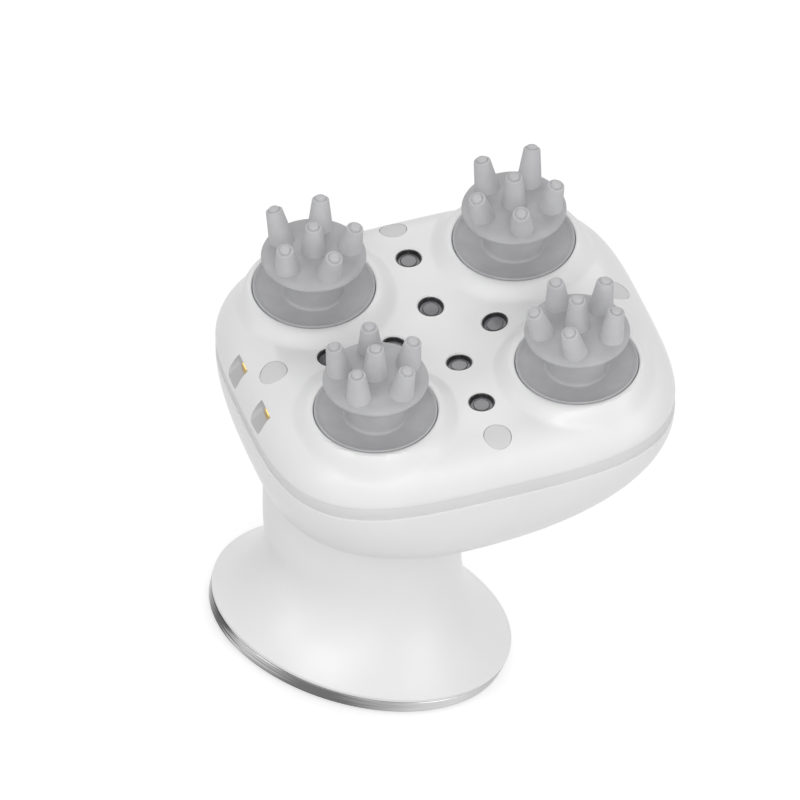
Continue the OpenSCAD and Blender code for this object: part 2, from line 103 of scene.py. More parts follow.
def spunShell(bm, line, steps, place=None):
    # turns a half section about the upright axis, and moves it if a place is given
    old = set(bm.verts)
    verts = [bm.verts.new((p[0], 0, p[1])) for p in line]
    edges = [bm.edges.new(pair) for pair in zip(verts, verts[1:])]
    bmesh.ops.spin(bm, geom=verts + edges, cent=(0, 0, 0), axis=(0, 0, 1), dvec=(0, 0, 0),
                   angle=2 * math.pi, steps=steps, use_merge=True, use_duplicate=False)
    fresh = [v for v in bm.verts if v not in old]
    bmesh.ops.remove_doubles(bm, verts=fresh, dist=1e-4)
    fresh = [v for v in bm.verts if v not in old]
    faces = list({f for v in fresh for f in v.link_faces})
    bmesh.ops.recalc_face_normals(bm, faces=faces)
    if place is not None:
        bmesh.ops.transform(bm, matrix=place, verts=fresh)
    return fresh


def pullEdge(bm, edges):
    # pulls an open edge loop out into a new one, and gives its vertices and edges
    grown = bmesh.ops.extrude_edge_only(bm, edges=edges)["geom"]
    verts = [g for g in grown if isinstance(g, bmesh.types.BMVert)]
    kept = set(verts)
    return verts, [g for g in grown if isinstance(g, bmesh.types.BMEdge)
                   and g.verts[0] in kept and g.verts[1] in kept]


def pulledRings(rings, count, capped=False):
    # a circle is set on the first ring, then its edge is pulled out to each next one,
    # and either both ends are capped or the last ring merges with the first
    bm = bmesh.new()
    turn = bm.verts.layers.float.new("turn")
    bmesh.ops.create_circle(bm, cap_ends=False, segments=count, radius=1)
    verts, edges = bm.verts[:], bm.edges[:]
    for v in verts:
        v[turn] = math.atan2(v.co.y, v.co.x) / (2 * math.pi) % 1
    if capped:
        bmesh.ops.contextual_create(bm, geom=edges)
    for v in verts:
        v.co = rings[0](v[turn])
    for ring in rings[1:]:
        verts, edges = pullEdge(bm, edges)
        for v in verts:
            v.co = ring(v[turn])
    if capped:
        bmesh.ops.contextual_create(bm, geom=edges)
    else:
        bmesh.ops.remove_doubles(bm, verts=bm.verts, dist=1e-5)
    bmesh.ops.recalc_face_normals(bm, faces=bm.faces)
    return bm


def ovalRing(xl, xr, b, n, z, lean=0.0, at=(0.0, 0.0), leftN=None):
    # one closed outline, a rounded oval whose squareness is n, and leftN on its left half
    a, mid = (xr - xl) / 2, (xl + xr) / 2

    def point(t):
        c, s = math.cos(2 * math.pi * t), math.sin(2 * math.pi * t)
        m = leftN if leftN and c < 0 else n
        r = ((abs(c) / a) ** m + (abs(s) / b) ** m) ** (-1 / m)
        x, y = mid + r * c, r * s
        return Vector((at[0] + x * math.cos(lean), y, at[1] + z + x * math.sin(lean)))
    return point


def insetRings(a, b, n, rows):
    # one oval taken in by each row's first number, at the height of its second
    return [ovalRing(-a + inset, a - inset, b - inset, n, z) for inset, z in rows]


def meshObject(name, bm):
    mesh = bpy.data.meshes.new(name)
    bm.to_mesh(mesh)
    bm.free()
    piece = bpy.data.objects.new(name, mesh)
    bpy.context.scene.collection.objects.link(piece)
    return piece


def finishPiece(piece, body, material, nodes, sharp=40):
    # smooth shading with edges kept crisp above the angle sharp, then its body and nodes
    piece.data.shade_smooth()
    piece.data.set_sharp_from_angle(angle=math.radians(sharp))
    if not piece.data.materials:
        piece.data.materials.append(material)
    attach(piece, body)
    if nodes:
        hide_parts(*nodes)


def makePiece(name, bm, place, body, material, nodes, sharp=40):
    bmesh.ops.transform(bm, matrix=place, verts=bm.verts)
    piece = meshObject(name, bm)
    finishPiece(piece, body, material, nodes, sharp)
    return piece


def carve(piece, bm, slot=0):
    # cuts one closed tool shape out of a piece that still lies in its drawing frame,
    # and the cut faces take that material slot
    for face in bm.faces:
        face.material_index = slot
    tool = meshObject("tool", bm)
    cutting = piece.modifiers.new("cut", "BOOLEAN")
    cutting.operation, cutting.solver, cutting.object = "DIFFERENCE", "EXACT", tool
    bpy.context.view_layer.update()
    graph = bpy.context.evaluated_depsgraph_get()
    result = bpy.data.meshes.new_from_object(piece.evaluated_get(graph))
    piece.modifiers.clear()
    piece.data = result
    bpy.data.objects.remove(tool)


def newMaterial(name, settings):
    # an empty material with its shader, whose even values are set here, and its coordinates
    material = bpy.data.materials.new(name)
    material.use_nodes = True
    tree = material.node_tree
    tree.nodes.clear()
    shader = addNode(tree, "ShaderNodeBsdfPrincipled", settings)
    addNode(tree, "ShaderNodeOutputMaterial", {"Surface": shader.outputs[0]})
    coords = addNode(tree, "ShaderNodeTexCoord").outputs["Object"]
    return material, tree, shader, coords


def tinted(tree, shader, coords, low, high, size, detail=2.0):
    # slow change between two close colours, size is one patch in metres
    noise = addNode(tree, "ShaderNodeTexNoise",
                    {"Vector": coords, "Scale": 1 / size, "Detail": detail})
    ramp = addNode(tree, "ShaderNodeValToRGB", {"Fac": noise.outputs["Fac"]})
    for stop, position, code in zip(ramp.color_ramp.elements, (0.35, 0.65), (low, high)):
        stop.position, stop.color = position, linear(code)
    tree.links.new(ramp.outputs["Color"], shader.inputs["Base Color"])
    return noise.outputs["Fac"]


def roughened(tree, shader, fac, low, high):
    change = addNode(tree, "ShaderNodeMapRange",
                     {"Value": fac, "To Min": low, "To Max": high})
    tree.links.new(change.outputs["Result"], shader.inputs["Roughness"])


def bumped(tree, shader, fac, depth, strength=1.0):
    bump = addNode(tree, "ShaderNodeBump",
                   {"Height": fac, "Strength": strength, "Distance": depth})
    tree.links.new(bump.outputs["Normal"], shader.inputs["Normal"])


def grained(tree, shader, coords, size, depth):
    # fine relief, size is one grain and depth its height, both in metres
    grain = addNode(tree, "ShaderNodeTexNoise",
                    {"Vector": coords, "Scale": 1 / size, "Detail": 1.0})
    bumped(tree, shader, grain.outputs["Fac"], depth)


# ABS moulded in a polished tool and sprayed with a satin clear coat: a clean
# white with broad soft highlights and hardly any texture
def satinAbs(name, low, high, roughness=(0.33, 0.43), coat=0.35):
    material, tree, shader, coords = newMaterial(name, {
        "IOR": 1.53, "Coat Weight": coat, "Coat Roughness": 0.30, "Coat IOR": 1.5})
    patches = tinted(tree, shader, coords, low, high, 0.030)
    roughened(tree, shader, patches, *roughness)
    grained(tree, shader, coords, 0.0006, 0.000004)  # orange peel of the coat, 0.6 mm
    return material


whiteAbs = satinAbs("satinCoatedWhiteAbs", "#efefef", "#f3f3f3")
bandAbs = satinAbs("erodedGreyAbs", "#e2e2e2", "#e7e7e7", (0.42, 0.5), 0.05)
plugAbs = satinAbs("mattGreyPlugAbs", "#dadadb", "#dfdfe0", (0.45, 0.55), 0.0)
# painted shade: a darker grey copy of the white for the cut faces inside the charging notches
paintedShadeNotchAbs = satinAbs("notchPaintedShadeAbs", "#bfbfc1", "#c9c9cb", (0.5, 0.6), 0.0)


# Silicone rubber pressed in an eroded mould: a dry grey that glows a little at
# thin edges, with a faint bloom of dust
def pressedSilicone(name, low, high):
    material, tree, shader, coords = newMaterial(name, {
        "IOR": 1.41, "Subsurface Weight": 0.05, "Subsurface Scale": 1.0,
        "Subsurface Radius": (0.0006, 0.0006, 0.0005),
        "Sheen Weight": 0.12, "Sheen Roughness": 0.5})
    bloom = tinted(tree, shader, coords, low, high, 0.005, 3.0)
    roughened(tree, shader, bloom, 0.52, 0.64)
    grained(tree, shader, coords, 0.00035, 0.000012)  # erosion, 0.35 mm so that it shows
    return material


greySilicone = pressedSilicone("pressedGreySilicone", "#b8b8ba", "#bfbfc1")
# painted light: the fingers get a paler copy of the same silicone, standing in for the light on
# their sides and the shade on the caps between them
paintedLightSilicone = pressedSilicone("siliconePaintedLighter", "#c4c4c6", "#cbcbcd")


# Brass turned and plated with bright chrome, with painted reflections: dark and light studio
# cards are painted into its colour as tones that change round the foot, broken up by turned
# streaks
plating = {
    "paintedReflections": ((0.0, "#4e4e4e"), (0.03, "#585858"), (0.05, "#cdcdcd"), (0.075, "#b2b2b2"),
              (0.12, "#737373"), (0.17, "#6e6e6e"), (0.21, "#9b9b9b"), (0.27, "#c6c6c6"),
              (0.33, "#cfcfcf"), (0.40, "#9b9b9b"), (0.5, "#7a7a7a"), (0.6, "#c0c0c0"),
              (0.75, "#8a8a8a"), (0.9, "#c4c4c4"), (1.0, "#4e4e4e")),
    "streaks": (40, 40, 2500),  # streaks 25 mm long and 0.4 mm high
    "waver": 0.03, "paintedShadeLow": 0.0006, "paintedShadeHigh": 0.0012, "paintedShadeTone": 0.45,
}


def platedBrass():
    material, tree, shader, coords = newMaterial("chromePlatedTurnedBrass", {"Metallic": 1.0})
    stretched = addNode(tree, "ShaderNodeMapping",
                        {"Vector": coords, "Scale": plating["streaks"]})
    lines = addNode(tree, "ShaderNodeTexNoise", {
        "Vector": stretched.outputs["Vector"], "Scale": 1.0, "Detail": 2.0}).outputs["Fac"]
    bearing = addNode(tree, "ShaderNodeTexGradient", {"Vector": coords}, gradient_type="RADIAL")
    shift = addNode(tree, "ShaderNodeMapRange", {
        "Value": lines, "From Min": 0.25, "From Max": 0.75,
        "To Min": -plating["waver"], "To Max": plating["waver"]})
    along = addNode(tree, "ShaderNodeMath", {
        0: bearing.outputs["Fac"], 1: shift.outputs["Result"]}, operation="ADD")
    # painted reflections: a ramp of dark and light tones round the foot, shifted by the streaks
    ramp = addNode(tree, "ShaderNodeValToRGB", {"Fac": along.outputs[0]})
    stops, paintedReflections = ramp.color_ramp.elements, plating["paintedReflections"]
    stops[0].color, stops[1].color = linear(paintedReflections[0][1]), linear(paintedReflections[-1][1])
    for position, tone in paintedReflections[1:-1]:
        stops.new(position).color = linear(tone)
    # painted shade: the lowest half millimetre, where the ring turns under towards the sole, is
    # darkened
    high = addNode(tree, "ShaderNodeSeparateXYZ", {"Vector": coords})
    edge = addNode(tree, "ShaderNodeMapRange", {
        "Value": high.outputs["Z"], "From Min": plating["paintedShadeLow"],
        "From Max": plating["paintedShadeHigh"], "To Min": plating["paintedShadeTone"], "To Max": 1.0})
    tone = addNode(tree, "ShaderNodeVectorMath", {
        0: ramp.outputs["Color"], 1: edge.outputs["Result"]}, operation="MULTIPLY")
    tree.links.new(tone.outputs["Vector"], shader.inputs["Base Color"])
    roughened(tree, shader, lines, 0.14, 0.26)
    bumped(tree, shader, lines, 0.00001, 0.4)
    return material


platedRing = platedBrass()


# Smoked polycarbonate, moulded clear and deep: nearly black with a crisp gleam
def smokedPolycarbonate(name, low, high, roughness=(0.12, 0.2)):
    material, tree, shader, coords = newMaterial(name, {
        "IOR": 1.585, "Coat Weight": 0.5, "Coat Roughness": 0.08})
    cloud = tinted(tree, shader, coords, low, high, 0.004)
    roughened(tree, shader, cloud, *roughness)
    grained(tree, shader, coords, 0.0008, 0.000003)
    return material


lensCup = smokedPolycarbonate("smokedPolycarbonateCup", "#232325", "#2b2b2d")
lensFloor = smokedPolycarbonate("frostedPolycarbonateLens", "#6a6a6d", "#747477", (0.3, 0.4))


# Metals and plain mouldings of the mechanism, slightly stained and mottled
def workedMetal(name, low, high, roughness, grain=0.0008):
    material, tree, shader, coords = newMaterial(name, {"Metallic": 1.0})
    stain = tinted(tree, shader, coords, low, high, 0.004, 3.0)
    roughened(tree, shader, stain, *roughness)
    grained(tree, shader, coords, grain, 0.000005)
    return material


def plainMoulding(name, low, high, roughness, ior=1.5):
    material, tree, shader, coords = newMaterial(name, {"IOR": ior})
    patches = tinted(tree, shader, coords, low, high, 0.008)
    roughened(tree, shader, patches, *roughness)
    grained(tree, shader, coords, 0.0005, 0.000008)
    return material


slotLooks = {
    "white_shell": whiteAbs,
    "grey_band": bandAbs,
    "bright_ring": platedRing,
    "grey_silicone": greySilicone,
    "smoked_lens": lensCup,
    # zinc plated steel, drawn: pale grey with a satin gleam
    "zinc_steel": workedMetal("zincPlatedSteel", "#a9acb0", "#bdbfc3", (0.28, 0.42)),
    # gold flashed copper, stamped: a warm satin gleam
    "gold_plate": workedMetal("goldFlashedCopper", "#d9b45a", "#e6c673", (0.2, 0.3)),
    # glass epoxy board under green lacquer: deep green, a little uneven
    "circuit_board": plainMoulding("lacqueredGlassEpoxy", "#1e5a38", "#27694a", (0.35, 0.45)),
    # diode resin cast over phosphor: waxy yellow white
    "diode_resin": plainMoulding("castDiodeResin", "#ece3b4", "#f4eecb", (0.3, 0.4)),
    # glass filled nylon, moulded: dull grey and faintly cloudy
    "inner_plastic": plainMoulding("glassFilledNylon", "#b4b5b7", "#c1c2c4", (0.5, 0.62)),
    # sintered bronze: brown and slightly porous
    "bronze_bush": workedMetal("sinteredBronze", "#8f6a3c", "#a67f4b", (0.4, 0.55), 0.0003),
    # nitrile rubber, pressed: black and matt
    "black_seal": plainMoulding("pressedNitrile", "#1c1c1d", "#262628", (0.6, 0.7), 1.52),
    # shrink film round the cell: blue with a slight gloss
    "cell_wrap": plainMoulding("shrinkFilm", "#2c5f9e", "#356bae", (0.25, 0.35)),
    # phenolic moulding: black, semi matt
    "dark_plastic": plainMoulding("phenolicMoulding", "#202022", "#2a2a2c", (0.4, 0.5)),
    # acetal, moulded: milky and slippery looking
    "gear_plastic": plainMoulding("mouldedAcetal", "#e4e1d6", "#ece9df", (0.32, 0.42), 1.48),
}
slotOf = {part["node"]: part["material_slot"] for part in frame["record"]["subparts"]}
for name, node in frame["nodes"].items():
    node.data.materials.clear()
    node.data.materials.append(slotLooks[slotOf[name]])
print("materials made:", len(slotLooks))

# Cover with its wells, window seats and notches, in millimetres from the head's middle
cover = {
    "halfLength": 48.85, "halfWidth": 43.3, "meanHalf": 46, "squareness": 3.54,
    "top": -2.2, "seam": -12.2, "roundness": 12.0, "cells": 180,
    "dishDeep": 1.6, "dishFlat": 7.0, "dishEdge": 21.0,
    "crown": 0.65, "crownAt": 40, "crownLong": 3, "crownWide": 9,
    "lip": -0.2, "lipRadius": 14.9, "mouthRound": 0.36,
    "lipFallWide": 4.6, "lipFallNarrow": 3.0, "narrowBelow": -4.5, "narrowOver": 1.6,
    "wellRadius": 14.15, "wellFloor": -5.2, "spindleHole": 4.5,
    "ledAlongX": (12.0, 27.6), "ledAlongY": (9.8, 25.2), "ledRadius": 3.0, "ledSeat": -3.4,
    "plugs": ((-41.2, 0.0), (41.2, 0.0), (0.0, -36.1), (0.0, 36.1)), "plugRadius": 3.2,
    "pocketTop": -5.4, "pockets": ((67, 10, 3), (10, 61, 3)),
    "notchY": 8.0, "notchBack": -45.7, "notchSill": -8.0, "notchWide": 6.0,
    "notchMouth": -58.0, "notchSlope": 0.98, "notchRound": 1.1,
    # the rim turned in under the seam and up the cavity: taken in by, above the seam
    "skirt": ((0.02, -0.06), (0.09, -0.13), (0.18, -0.15), (2.2, -0.15), (2.35, 2.4),
              (3.9, 3.4), (4.2, 4.9), (4.8, 5.2), (20.0, 5.2), (38.0, 5.2)),
}
ledSpots = ([(s * d, 0.0) for s in (-1, 1) for d in cover["ledAlongX"]]
            + [(0.0, s * d) for s in (-1, 1) for d in cover["ledAlongY"]])


def coverDome(f):
    # height of the plain dome at a share f of the outline
    rise = cover["top"] - cover["seam"]
    return cover["seam"] + rise * max(0.0, 1 - f ** cover["roundness"]) ** (2 / 3)


def coverShare(x, y):
    n = cover["squareness"]
    return ((abs(x) / cover["halfLength"]) ** n + (abs(y) / cover["halfWidth"]) ** n) ** (1 / n)


def coverSurface(x, y, base=None):
    # height of the visible top at a plan position
    z = coverDome(min(1.0, coverShare(x, y))) if base is None else base
    r = math.hypot(x, y)
    if r < cover["dishEdge"]:
        fall = (r - cover["dishFlat"]) / (cover["dishEdge"] - cover["dishFlat"])
        z -= cover["dishDeep"] * (0.5 + 0.5 * math.cos(math.pi * min(1.0, max(0.0, fall))))
    z += cover["crown"] * math.exp(-((abs(x) - cover["crownAt"]) / cover["crownLong"]) ** 2
                                   - (y / cover["crownWide"]) ** 2)
    for cx, cy in discSpots:
        r = math.hypot(x - cx, y - cy)
        wide = mix(cover["lipFallNarrow"], cover["lipFallWide"],
                   ease((z - cover["narrowBelow"]) / cover["narrowOver"]))
        if r < cover["lipRadius"] + wide:
            z = mix(cover["lip"], z, ease((r - cover["lipRadius"]) / wide))
    return z


def layFlush(verts, x, y):
    # moves a shape drawn round the origin onto the cover and leans it with the surface
    step = 0.5
    z = coverSurface(x, y)
    slopeX = (coverSurface(x + step, y) - coverSurface(x - step, y)) / (2 * step)
    slopeY = (coverSurface(x, y + step) - coverSurface(x, y - step)) / (2 * step)
    for v in verts:
        v.co = (v.co.x + x, v.co.y + y, v.co.z + z + slopeX * v.co.x + slopeY * v.co.y)


def profileTable(steps=3000):
    # share of the outline against length along the dome, so that rows are even
    table, length, last = [], 0.0, None
    for i in range(steps + 1):
        f = 1 - (1 - i / steps) ** 4
        here = Vector((f * cover["meanHalf"], coverDome(f)))
        length += (here - last).length if last else 0.0
        table.append((length, f))
        last = here
    return [(s / length, f) for s, f in table]


def outlineSpot(angle, inset, f=1.0):
    # plan position on the cover's outline, taken in by inset and shrunk to a share f
    c, s, n = math.cos(angle), math.sin(angle), cover["squareness"]
    r = f * (abs(c) ** n + abs(s) ** n) ** (-1 / n)
    return (cover["halfLength"] - inset) * r * c, (cover["halfWidth"] - inset) * r * s


def coverBlank():
    # a grid drawn over the dome, with its edge pulled in under the seam and up the cavity
    bm = bmesh.new()
    table = profileTable()
    keys = [s for s, f in table]
    turn = bm.verts.layers.float.new("turn")
    bmesh.ops.create_grid(bm, x_segments=cover["cells"], y_segments=cover["cells"], size=1)
    for v in bm.verts:
        m = max(abs(v.co.x), abs(v.co.y))
        angle = math.atan2(v.co.y, v.co.x)
        v[turn] = angle / (2 * math.pi) % 1
        f = table[min(len(table) - 1, bisect(keys, m))][1] if m < 0.9999 else 1.0
        x, y = outlineSpot(angle, 0, f)
        v.co = (x, y, coverSurface(x, y, coverDome(f)))
    edges = [e for e in bm.edges if e.is_boundary]
    for inset, rise in cover["skirt"]:
        verts, edges = pullEdge(bm, edges)
        for v in verts:
            x, y = outlineSpot(2 * math.pi * v[turn], inset)
            v.co = (x, y, cover["seam"] + rise)
    bmesh.ops.contextual_create(bm, geom=edges)
    bmesh.ops.recalc_face_normals(bm, faces=bm.faces)
    piece = meshObject("coverShell", bm)
    piece.data.materials.append(whiteAbs)
    # slot 1 is the darker grey painted shade for the notches
    piece.data.materials.append(paintedShadeNotchAbs)
    return piece


def boardPocket(size):
    # one bar of the cross in which the light board lies
    bm = bmesh.new()
    bmesh.ops.create_cube(bm, size=1)
    bmesh.ops.scale(bm, vec=size, verts=bm.verts)
    bmesh.ops.translate(bm, vec=(0, 0, cover["pocketTop"] - size[2] / 2), verts=bm.verts)
    return bm


def coverTools():
    bm = bmesh.new()
    lip, well, mouth = cover["lip"], cover["wellRadius"], cover["mouthRound"]
    for cx, cy in discSpots:
        # the well with its rounded mouth, and the hole for the spindle seal
        line = filleted([(0, -9, 0), (cover["spindleHole"], -9, 0),
                         (cover["spindleHole"], cover["wellFloor"], 0.15),
                         (well, cover["wellFloor"], 0.4), (well, lip - 0.4, 0)])
        line += [Vector((well + mouth * (1 - math.cos(a)), lip - 0.4 + mouth * math.sin(a)))
                 for a in (math.radians(d) for d in (12, 28, 45, 60, 74))]
        line += [Vector((well + 0.9, lip + 0.1)), Vector((well + 1.2, 3)), Vector((0, 3))]
        spunShell(bm, line, 160, Matrix.Translation((cx, cy, 0)))
    r, seat = cover["ledRadius"], cover["ledSeat"]
    for x, y in ledSpots:
        line = [(0, seat), (r, seat), (r, -0.22), (r + 0.04, -0.12), (r + 0.12, -0.04),
                (r + 0.24, 0.03), (r + 0.5, 1.2), (0, 1.2)]
        layFlush(spunShell(bm, line, 72), x, y)
    r = cover["plugRadius"]
    for x, y in cover["plugs"]:
        z = coverSurface(x, y)
        line = [(0, z - 2.0), (r, z - 2.0), (r, 1.0), (0, 1.0)]
        spunShell(bm, line, 72, Matrix.Translation((x, y, 0)))
    return bm


def notchTool(side):
    # one charging notch: a ramp that runs in and up to a short back wall
    back, mouth, sill = cover["notchBack"], cover["notchMouth"], cover["notchSill"]
    bm = bmesh.new()
    bmesh.ops.create_cube(bm, size=1)
    for v in bm.verts:
        inside = v.co.x > 0
        low = sill if inside else sill + cover["notchSlope"] * (mouth - back)
        v.co = (back if inside else mouth, side * cover["notchY"] + v.co.y * cover["notchWide"],
                0.0 if v.co.z > 0 else low)
    ramp = [e for e in bm.edges if abs(e.verts[0].co.x - e.verts[1].co.x) > 1
            and e.verts[0].co.z < -1 and e.verts[1].co.z < -1]
    bmesh.ops.bevel(bm, geom=ramp, offset=cover["notchRound"], segments=6, profile=0.5,
                    affect="EDGES", material=-1)
    return bm


coverShell = coverBlank()
for size in cover["pockets"]:
    carve(coverShell, boardPocket(size))
carve(coverShell, coverTools())
# the notches' cut faces take slot 1, the darker grey painted shade
for side in (-1, 1):
    carve(coverShell, notchTool(side), 1)
coverShell.data.transform(headFrame)
finishPiece(coverShell, "housing", whiteAbs, ["top_cover"], 30)
print("cover carved:", len(coverShell.data.polygons), "faces")

# Flush plugs over the cover's screws, a hair below the surface
plug = {"play": 0.1, "thick": 1.0, "sunk": 0.04, "edge": 0.15}


def plugPiece():
    bm = bmesh.new()
    r, low = cover["plugRadius"] - plug["play"], -plug["thick"]
    line = filleted([(0, low, 0), (r, low, 0), (r, 0, plug["edge"]), (r * 0.66, 0, 0),
                     (r * 0.33, 0, 0), (0, 0, 0)], 3)
    for x, y in cover["plugs"]:
        for v in spunShell(bm, line, 64, Matrix.Translation((x, y, 0))):
            v.co.z += coverSurface(v.co.x, v.co.y) - plug["sunk"]
    makePiece("screwPlugs", bm, headFrame, "housing", plugAbs, ["screw_plugs"])


plugPiece()

# Light windows: a smoked cup with a raised rim, and a frosted lens on its floor
windows = {"radius": 2.96, "rimInner": 2.72, "cupLow": -1.7, "cupFloor": -1.35,
           "deep": 1.02, "floorRadius": 1.9}


def windowPieces():
    cups, dishes = bmesh.new(), bmesh.new()
    r, inner, floor = windows["radius"], windows["rimInner"], windows["floorRadius"]
    low, cupFloor, deep = windows["cupLow"], windows["cupFloor"], windows["deep"]
    cup = filleted([(0, low, 0), (r, low, 0.1), (r, -0.08, 0.1), (inner + 0.08, -0.1, 0.06),
                    (inner, -0.24, 0.05), (inner - 0.1, cupFloor, 0), (0, cupFloor, 0)], 4)
    dishLow = cupFloor + 0.01
    dish = filleted([(0, dishLow, 0), (inner - 0.14, dishLow, 0),
                     (inner - 0.14, -deep - 0.04, 0.05), (floor + 0.1, -deep, 0.04),
                     (floor, -deep - 0.12, 0.03), (floor - 0.12, -deep + 0.1, 0.05),
                     (floor - 0.4, -deep + 0.1, 0.1), (0, -deep + 0.14, 0)], 4)
    for x, y in ledSpots:
        layFlush(spunShell(cups, cup, 64), x, y)
        layFlush(spunShell(dishes, dish, 64), x, y)
    makePiece("windowCups", cups, headFrame, "housing", lensCup, ["led_windows"])
    makePiece("windowLenses", dishes, headFrame, "housing", lensFloor, ())


windowPieces()
print("windows and plugs set")

# Seam band between cover and bowl, set back a little, with soft edges
band = {"high": -12.35, "low": -16.0, "inset": 0.3, "wall": 2.2}


def bandPiece():
    low, high, inset, wall = band["low"], band["high"], band["inset"], band["wall"]
    rows = [(wall, low), (inset + 0.16, low), (inset + 0.05, low + 0.05), (inset, low + 0.18),
            (inset, high - 0.18), (inset + 0.05, high - 0.05), (inset + 0.16, high),
            (wall, high), (wall, low)]
    rings = insetRings(cover["halfLength"], cover["halfWidth"], cover["squareness"], rows)
    makePiece("seamBand", pulledRings(rings, 288), headFrame, "housing", bandAbs,
              ["seam_gasket"])


bandPiece()

# Bowl under the seam, which runs down into the root of the neck
bowl = {
    "high": -16.0, "deep": 24.4, "wall": 2.2,
    "leftFall": 0.018, "leftPower": 1.85, "leftBlend": 0.2,
    "rightFall": (46.9, 1.6), "rightPower": 1.78, "sideFall": 16.2, "sidePower": 1.13,
    "softer": 1.69, "leftSofter": 1.6,
    "neckX": -19.8, "neckLow": -44.0, "neckA": 23.2, "neckB": 20.8,
    "rootAngle": 80, "rootLong": 5.5, "rootWide": 6, "rootSquare": 0.2,
}


def bowlRing(degrees, inset=0.0):
    # one level of the bowl, from 0 degrees at the seam to 90 at its lowest point
    u = math.radians(degrees)
    w = 1 - math.cos(u)
    z = bowl["high"] - (bowl["deep"] - inset) * math.sin(u)
    # the left side falls slowly and then eases into the neck's own left side
    neckLeft, blend = bowl["neckX"] - bowl["neckA"], bowl["leftBlend"]
    fall = bowl["leftFall"] * (bowl["high"] - z) ** bowl["leftPower"]
    beyond = neckLeft + cover["halfLength"] - fall
    xl = neckLeft - blend * math.log(1 + math.exp(beyond / blend))
    falls = bowl["rightFall"]
    xr = cover["halfLength"] - falls[0] * w - falls[1] * w ** bowl["rightPower"]
    b = cover["halfWidth"] - bowl["sideFall"] * w ** bowl["sidePower"]
    n = cover["squareness"] - bowl["softer"] * w
    return ovalRing(xl + inset, xr - inset, b - inset, n, z,
                    leftN=max(2.0, n - bowl["leftSofter"] * w))


def stubRing(t, inset=0.0):
    # one level of the neck's root, from 0 at the seam with the handle to 1 in the bowl
    low = bowl["neckLow"]
    high = bowl["high"] - bowl["deep"] * math.sin(math.radians(bowl["rootAngle"]))
    grow = 1 - math.sqrt(1 - t * t * 0.98)
    return ovalRing(bowl["neckX"] - bowl["neckA"] + inset,
                    bowl["neckX"] + bowl["neckA"] - inset + bowl["rootLong"] * grow,
                    bowl["neckB"] - inset + bowl["rootWide"] * grow,
                    2 + bowl["rootSquare"] * grow,
                    low + (high - low) * math.sin(math.radians(90 * t)))


def bowlPiece():
    wall, high = bowl["wall"], bowl["high"]
    outer = [stubRing(t / 12) for t in range(13)]
    outer += [bowlRing(d) for d in (*range(78, 9, -4), 7, 4, 2, 0.7)]
    lip = insetRings(cover["halfLength"], cover["halfWidth"], cover["squareness"],
                     [(0.02, high - 0.05), (0.09, high - 0.01), (0.2, high), (wall, high)])
    inner = [bowlRing(d, wall) for d in (4, 12, 20, 30, 40, 50, 60, 70, 80)]
    inner += [stubRing(t / 5, wall) for t in range(5, -1, -1)]
    makePiece("bowlShell", pulledRings(outer + lip + inner + [outer[0]], 240), headFrame,
              "housing", whiteAbs, ["lower_housing"])


bowlPiece()

# Handle that flares into the foot, and leans over to the neck on its way up
foot = {"a": 36.7, "b": 31.7, "flare": 2.42, "ringTop": 3.8, "lipHigh": 0.9, "wall": 2.2,
        "waistDrop": 59.0, "leanFrom": 0.2, "soleHigh": 0.5, "ringTaper": 0.3,
        "ringRound": 0.7, "ringInner": 2.6}


def neckSpot(drop):
    # place in the standing frame of a point on the neck's axis, that far under the head
    x = bowl["neckX"]
    return (headPlace["shift"] + x * math.cos(tilt) + drop * math.sin(tilt),
            headPlace["height"] + x * math.sin(tilt) - drop * math.cos(tilt))


waistHigh = neckSpot(foot["waistDrop"])[1]
seamSpot = neckSpot(-bowl["neckLow"])


def handleRing(s, inset=0.0):
    # s runs from the foot to the seam under the bowl, and the rings lean over on the way
    low = foot["ringTop"] + foot["lipHigh"]
    waist = (waistHigh - low) / (seamSpot[1] - low)
    flare = max(0.0, 1 - s / waist) ** foot["flare"]
    a = bowl["neckA"] + (foot["a"] - bowl["neckA"]) * flare - inset
    b = bowl["neckB"] + (foot["b"] - bowl["neckB"]) * flare - inset
    lean = tilt * ease((s - foot["leanFrom"]) / (1 - foot["leanFrom"]))
    return ovalRing(-a, a, b, 2, 0, lean, (seamSpot[0] * s, mix(low, seamSpot[1], s)))


def handlePiece():
    top = foot["ringTop"]
    lip = insetRings(foot["a"], foot["b"], 2,
                     [(foot["ringInner"], top), (0.35, top), (0.12, top + 0.08),
                      (0.02, top + 0.22), (0.0, top + 0.45)])
    outer = [handleRing(t / 64) for t in range(65)]
    inner = [handleRing(t / 20, foot["wall"]) for t in range(20, -1, -1)]
    makePiece("handleShell", pulledRings(lip + outer + inner + [lip[0]], 200), footFrame,
              "housing", whiteAbs, ["handle_shell"])


handlePiece()


# Plated ring round the foot, a little narrower below and rounded at its lower edge
def ringPiece():
    taper, turned, inner = foot["ringTaper"], foot["ringRound"], foot["ringInner"]
    low, high = foot["soleHigh"], foot["ringTop"] - 0.02
    rows = [(inner, low), (taper + turned, low)]
    rows += [(taper + turned * (1 - math.sin(math.radians(d))),
              low + turned * (1 - math.cos(math.radians(d)))) for d in (15, 30, 45, 60, 75, 90)]
    rows += [(0.04, high - 0.35), (0.06, high - 0.2), (0.12, high - 0.09), (0.25, high),
             (inner, high), (inner, low)]
    rings = insetRings(foot["a"], foot["b"], 2, rows)
    makePiece("footRing", pulledRings(rings, 240), footFrame, "housing", platedRing,
              ["base_ring"])


ringPiece()
print("shells pulled")

